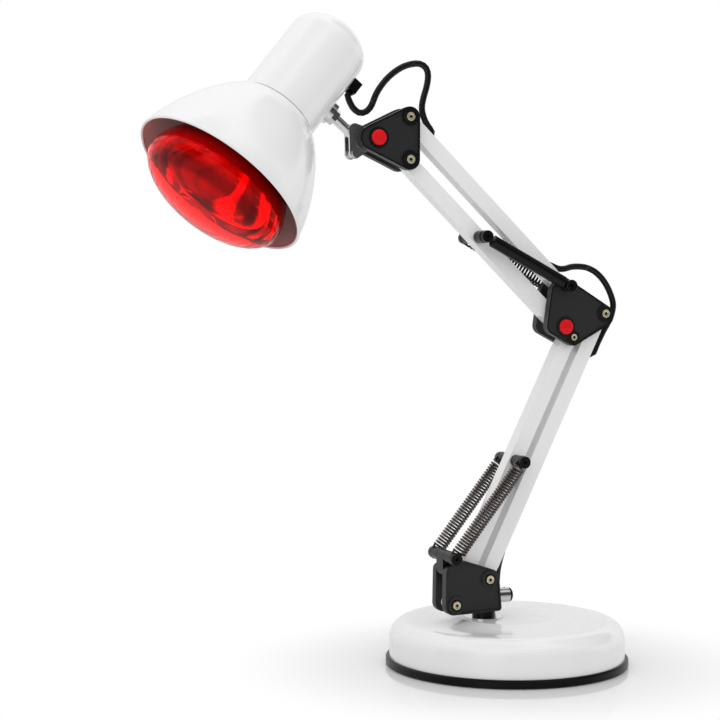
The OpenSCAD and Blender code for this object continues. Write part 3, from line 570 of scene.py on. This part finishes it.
# ---- Lampholder ----
# Glazed ceramic holder on a punched steel plate inside the housing. The bulb's cap screws
# into it.
ceramic = finish_of("holder_ceramic", (0.78, 0.76, 0.71), 0.25, scale=300, shade=0.06, spread=0.08, dent=0.00001)
cap_metal = finish_of("bulb_cap_metal", (0.7, 0.7, 0.68), 0.3, scale=500, shade=0.15, spread=0.15, dent=0.00001,
                      Metallic=1.0)
dress(ceramic, "lampholder")
dress(cap_metal, "bulb_cap")
dress(chrome, "holder_plate")

# ---- Bulb ----
# A 125 mm reflector bulb in ruby glass. Its red is painted lighter and darker in rings round the axis,
# as painted reflection arcs; a mirror lines the rear cone, and a filament ring hangs on its supports.
BULB_R = 0.0625
ruby = finish_of("ruby_glass", (1.0, 0.012, 0.006), 0.02, scale=40, shade=0.5, spread=0.01, dent=0.00006,
                 Transmission_Weight=0.94, IOR=1.2, Specular_IOR_Level=0.12)
t, glass, g = parts_of(ruby)
place, out = off_axis(t, at_head(0, -120.4))
# Painted reflection: rings of lighter and darker red by distance from the bulb's axis.
far = add(t, "VectorMath", maths("LENGTH"))
share = add(t, "Math", maths("DIVIDE"), BULB_R)
band = add(t, "ValToRGB")
for k, (pos, v) in enumerate([(0.0, 1.0), (0.3, 0.9), (0.42, 0.62), (0.5, 0.95), (0.72, 0.85), (0.79, 0.38), (0.9, 0.45),
                              (0.97, 1.0)]):
    e = band.color_ramp.elements[k] if k < 2 else band.color_ramp.elements.new(pos)
    e.position, e.color = pos, (v, v, v, 1)
painted_rings = add(t, "Mix", {"data_type": "RGBA", "blend_type": "MULTIPLY"}, Factor=1.0)
wires(t, (out, 0, far, 0), (far, "Value", share, 0), (share, 0, band, "Fac"), (g, "Colour", painted_rings, "A"),
      (band, "Color", painted_rings, "B"), (painted_rings, "Result", glass, "Base Color"))
dress(ruby, "bulb_glass")


def bezier(a, b, c, d, n):
    return [tuple((1 - s) ** 3 * a[i] + 3 * (1 - s) ** 2 * s * b[i] + 3 * (1 - s) * s * s * c[i] + s ** 3 * d[i]
                  for i in (0, 1)) for s in (k / n for k in range(n + 1))]


def in_bulb(o, material):
    """A piece inside the bulb: its finish and the head as its body."""
    dress(material, o)
    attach(o, "head")


mirror = finish_of("reflector_silver", (0.98, 0.96, 0.93), 0.02, scale=5, shade=0.1, spread=0.01, dent=0.002, Metallic=1.0)
cone = [(r - 1.9, z) for r, z in bezier((62.5, -118.4), (62.5, -96), (19, -58.4), (18.5, -25), 24)]
seg = 96
in_bulb(new_mesh("reflector_cone",
                 [at_head(r * math.cos(2 * math.pi * k / seg), z, r * math.sin(2 * math.pi * k / seg))
                  for r, z in cone for k in range(seg)],
                 [(i * seg + k, i * seg + (k + 1) % seg, (i + 1) * seg + (k + 1) % seg, (i + 1) * seg + k)
                  for i in range(len(cone) - 1) for k in range(seg)]), mirror)
filament = finish_of("filament_wire", (0.6, 0.6, 0.6), 0.35, scale=900, Metallic=1.0)
RING_TURN = 2 * math.pi * 0.86


def on_ring(a):
    return at_head(13 * math.cos(a), -88, 13 * math.sin(a))


in_bulb(tube("filament_ring", [on_ring(RING_TURN * k / 36) for k in range(37)], 0.0008, sides=8, up=(0.4, 0.5, 0.8)),
        filament)
for k in range(3):
    a = RING_TURN * k / 2
    foot = at_head(5 * math.cos(a), -30, 5 * math.sin(a))
    in_bulb(tube("filament_leg_%d" % k, [foot.lerp(on_ring(a), i / 8) for i in range(9)], 0.0005, sides=8,
                 up=(0.4, 0.5, 0.1)), filament)

# ---- Strain relief, inline switch and plug ----
# Black PVC mouldings on the lead, with soft edges. The plug's round pins are bright plated
# brass.
dress(black_moulded, "strain_relief", "inline_switch", "plug_body")
soften(0.0008, "strain_relief", "plug_body")
soften(0.0012, "inline_switch")
dress(chrome, "plug_pins")
soften(0.0006, "plug_pins", "switch_rocker", "yoke_cheeks")

# ---- Floor ----
# A white glossy sheet that mirrors the base a little. Away from the base it fades into the white
# backdrop.
EDGE = 4
sheet = bpy.data.materials.new("floor_sheet")
sheet.use_nodes = True
t = sheet.node_tree
gloss, end = t.nodes["Principled BSDF"], t.nodes["Material Output"]
gloss.inputs["Base Color"].default_value = (0.86, 0.86, 0.86, 1)
gloss.inputs["Roughness"].default_value = 0.03
gloss.inputs["Specular IOR Level"].default_value = 1.0
glow = add(t, "Emission", Strength=1.0)
place = add(t, "TexCoord")
away = add(t, "VectorMath", maths("LENGTH"))
fade = add(t, "MapRange", {"interpolation_type": "SMOOTHSTEP"}, From_Min=0.1, From_Max=0.25, To_Min=0.1, To_Max=1.0)
path = add(t, "LightPath")
seen = add(t, "Math", maths("MULTIPLY"))
mix = add(t, "MixShader")
wires(t, (place, "Object", away, 0), (away, "Value", fade, "Value"), (fade, "Result", seen, 0),
      (path, "Is Camera Ray", seen, 1), (seen, 0, mix, 0), (gloss, 0, mix, 1), (glow, 0, mix, 2),
      (mix, 0, end, "Surface"))
floor = new_mesh("floor", [(x * EDGE, y * EDGE, -0.0004) for x, y in ((-1, -1), (1, -1), (1, 1), (-1, 1))],
                 [(0, 1, 2, 3)], False)
floor.data.materials.append(sheet)

# ---- Studio light ----
# A white tent, brighter towards the upper front. Gloss and glass see darker panels in it, which
# give the chrome, the paint and the bulb their dark bands; three soft boxes fill in.
world = bpy.data.worlds.new("studio")
bpy.context.scene.world = world
world.use_nodes = True
t = world.node_tree
tent = t.nodes["Background"]
tent.inputs["Color"].default_value = (1, 1, 1, 1)
path = add(t, "LightPath")
way = add(t, "TexCoord")


def panel(towards, start, full, outer, inner):
    """The tent's strength by the angle from a direction: outer away from it and inner near it."""
    dot = add(t, "VectorMath", maths("DOT_PRODUCT"), Vector(towards).normalized())
    fall = add(t, "MapRange", {"interpolation_type": "SMOOTHSTEP"}, From_Min=start, From_Max=full, To_Min=outer,
               To_Max=inner)
    wires(t, (way, "Generated", dot, 0), (dot, "Value", fall, "Value"))
    return fall


diffuse = panel((-0.12, -0.72, 0.62), -0.9, 0.9, 0.52, 0.93)
gloss, out = panel((0.3, -0.95, -0.05), 0.5, 0.78, 0.94, 0.05), "Result"
for towards, start, full, dark in (((0.4, 0.9, -0.05), 0.75, 1.0, 0.88), ((-0.95, -0.2, 0.25), 0.9, 0.96, 0.12),
                                   ((0.75, 0.05, 0.66), 0.86, 0.93, 0.1), ((-0.2, -0.2, 0.96), 0.93, 0.97, 0.3)):
    both = add(t, "Math", maths("MULTIPLY"))
    wires(t, (gloss, out, both, 0), (panel(towards, start, full, 1.0, dark), "Result", both, 1))
    gloss, out = both, 0
in_glass = add(t, "Math", maths("MULTIPLY"), 5.0)
by_gloss = add(t, "Mix")
by_glass = add(t, "Mix")
by_camera = add(t, "Mix", B=1.0)
wires(t, (path, "Is Glossy Ray", by_gloss, "Factor"), (diffuse, "Result", by_gloss, "A"), (gloss, 0, by_gloss, "B"),
      (gloss, 0, in_glass, 0), (path, "Is Transmission Ray", by_glass, "Factor"), (by_gloss, "Result", by_glass, "A"),
      (in_glass, 0, by_glass, "B"), (path, "Is Camera Ray", by_camera, "Factor"), (by_glass, "Result", by_camera, "A"),
      (by_camera, "Result", tent, "Strength"))


def soft_box(name, place, target, size, power, in_gloss=False):
    """A square studio lamp aimed at a point; the fills aren't seen in glossy surfaces."""
    d = bpy.data.lights.new(name, "AREA")
    d.size, d.energy = size, power
    o = bpy.data.objects.new(name, d)
    bpy.context.scene.collection.objects.link(o)
    o.location = place
    o.visible_glossy = in_gloss
    o.rotation_mode = "QUATERNION"
    o.rotation_quaternion = (Vector(target) - Vector(place)).to_track_quat("-Z", "Y")


soft_box("key_left", (-1.5, -0.7, 1.3), (-0.1, 0, 0.25), 0.9, 2.5)
soft_box("front_fill", (0.3, -2.0, 1.0), (0, 0, 0.25), 1.2, 3)
soft_box("top", (-0.1, 0.3, 1.9), (0, 0, 0.2), 1.0, 3)
soft_box("bulb_glint", (-1.05, -0.75, -0.15), (-0.27, 0, 0.42), 0.22, 1, True)

bpy.context.scene.view_settings.view_transform = "Standard"
